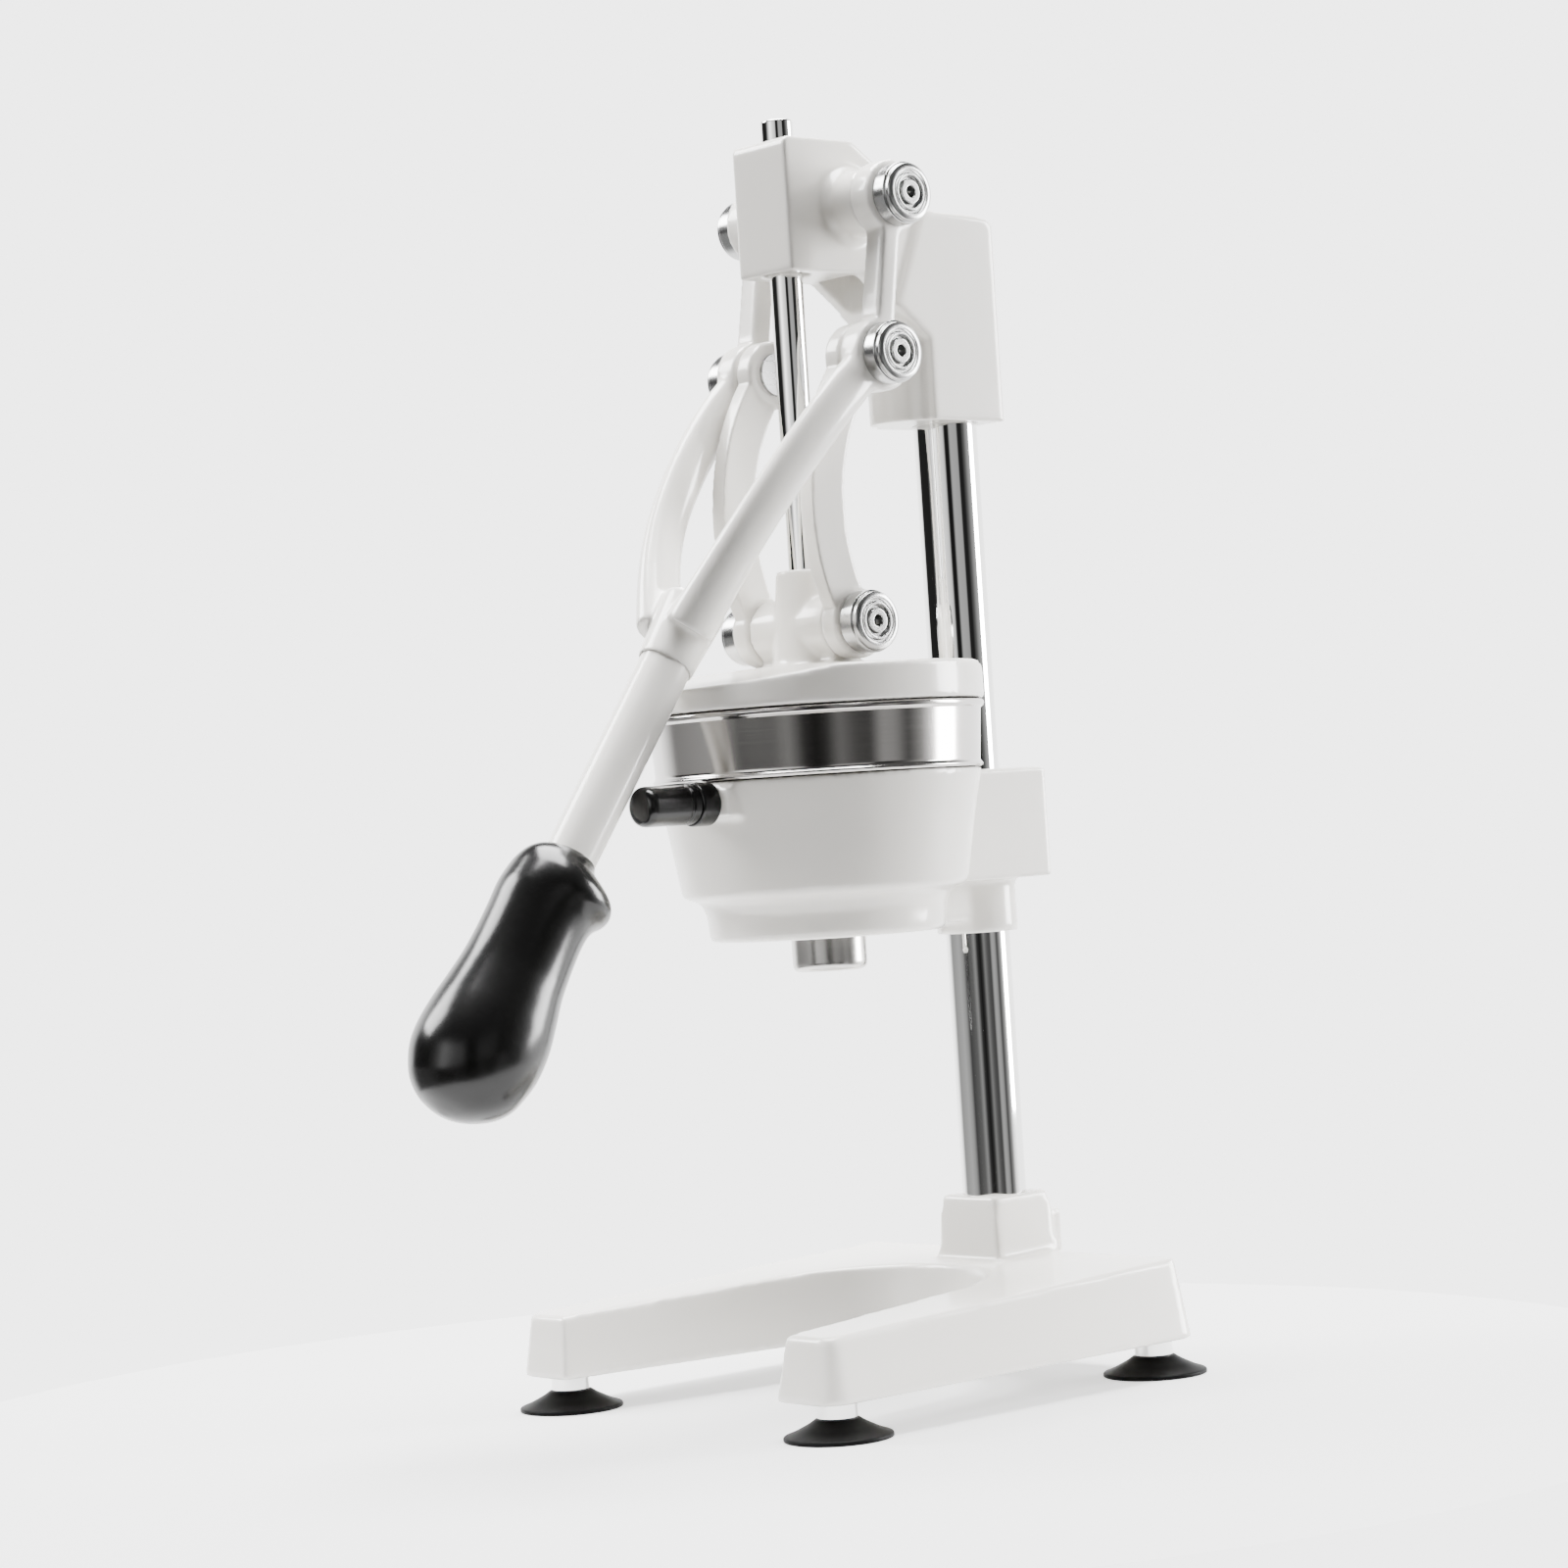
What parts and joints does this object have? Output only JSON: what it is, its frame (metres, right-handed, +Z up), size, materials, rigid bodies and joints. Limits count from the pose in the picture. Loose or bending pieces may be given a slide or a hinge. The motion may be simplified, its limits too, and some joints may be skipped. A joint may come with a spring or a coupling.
{
  "type": "hand lever fruit press",
  "caption": "Upright hand press with a forked toggle lever, guided press head, steel cup and spouted bowl on a clamped round column.",
  "frame": {"origin": "on the floor, at the centre of the press's own outline", "axes": "+Z up along the column and the guide rod; the lever, its grip and the bowl's handle point to -Y, the column stands on the +Y side; the pivots run along X"},
  "size_m": [0.1944, 0.3021, 0.493],
  "materials": {
    "white_enamel": "gloss white enamel on cast metal",
    "white_enamel_lever": "gloss white enamel",
    "white_enamel_links": "gloss white enamel",
    "chrome": "polished chrome plate",
    "chrome_caps": "turned and chromed",
    "stainless": "polished stainless sheet",
    "stainless_reamer": "satin stainless",
    "cast_aluminium": "smooth cast",
    "zinc_steel": "zinc plated",
    "steel_pin": "ground",
    "black_gloss": "gloss black moulding",
    "black_rubber": "satin black rubber"
  },
  "bodies": {
    "frame": {"base": "white_enamel", "base_set_screw": "zinc_steel", "suction_cups": "black_rubber", "foot_studs": "chrome", "column": "chrome", "head": "white_enamel", "head_set_screws": "zinc_steel", "top_axle": "steel_pin", "top_caps": "chrome_caps", "bowl": "white_enamel", "bowl_set_screw": "zinc_steel", "nozzle": "stainless", "nozzle_nut": "stainless", "handle_stud": "steel_pin", "handle_collar": "black_gloss", "handle_grip": "black_gloss", "steel_cup": "stainless", "reamer": "stainless_reamer"},
    "lever": {"lever_fork": "white_enamel_lever", "lever_tube": "white_enamel_lever", "lever_grip": "black_gloss", "mid_pins": "steel_pin", "mid_caps": "chrome_caps"},
    "links": {"link_left": "white_enamel_links", "link_right": "white_enamel_links", "link_washers": "steel_pin"},
    "ram": {"guide_rod": "chrome", "press_head": "white_enamel", "low_axle": "steel_pin", "low_caps": "chrome_caps", "presser": "cast_aluminium", "presser_screw": "zinc_steel"}
  },
  "joints": [
    {"name": "lever_hinge", "type": "hinge", "parent": "frame", "child": "lever", "pos_m": [0, 0.06706, 0.4585], "axis": [-1, 0, 0], "range_deg": [0, 55]},
    {"name": "link_hinge", "type": "hinge", "parent": "lever", "child": "links", "pos_m": [0, 0.05676, 0.3972], "axis": [-1, 0, 0], "range_deg": [-84, 0]},
    {"name": "ram_hinge", "type": "hinge", "parent": "links", "child": "ram", "pos_m": [0, 0.04606, 0.2954], "axis": [-1, 0, 0], "range_deg": [0, 28.5]}
  ],
  "couplings": [
    {"joint": "link_hinge", "follows": "lever_hinge", "ratio": -1.51},
    {"joint": "ram_hinge", "follows": "lever_hinge", "ratio": 0.51}
  ]
}
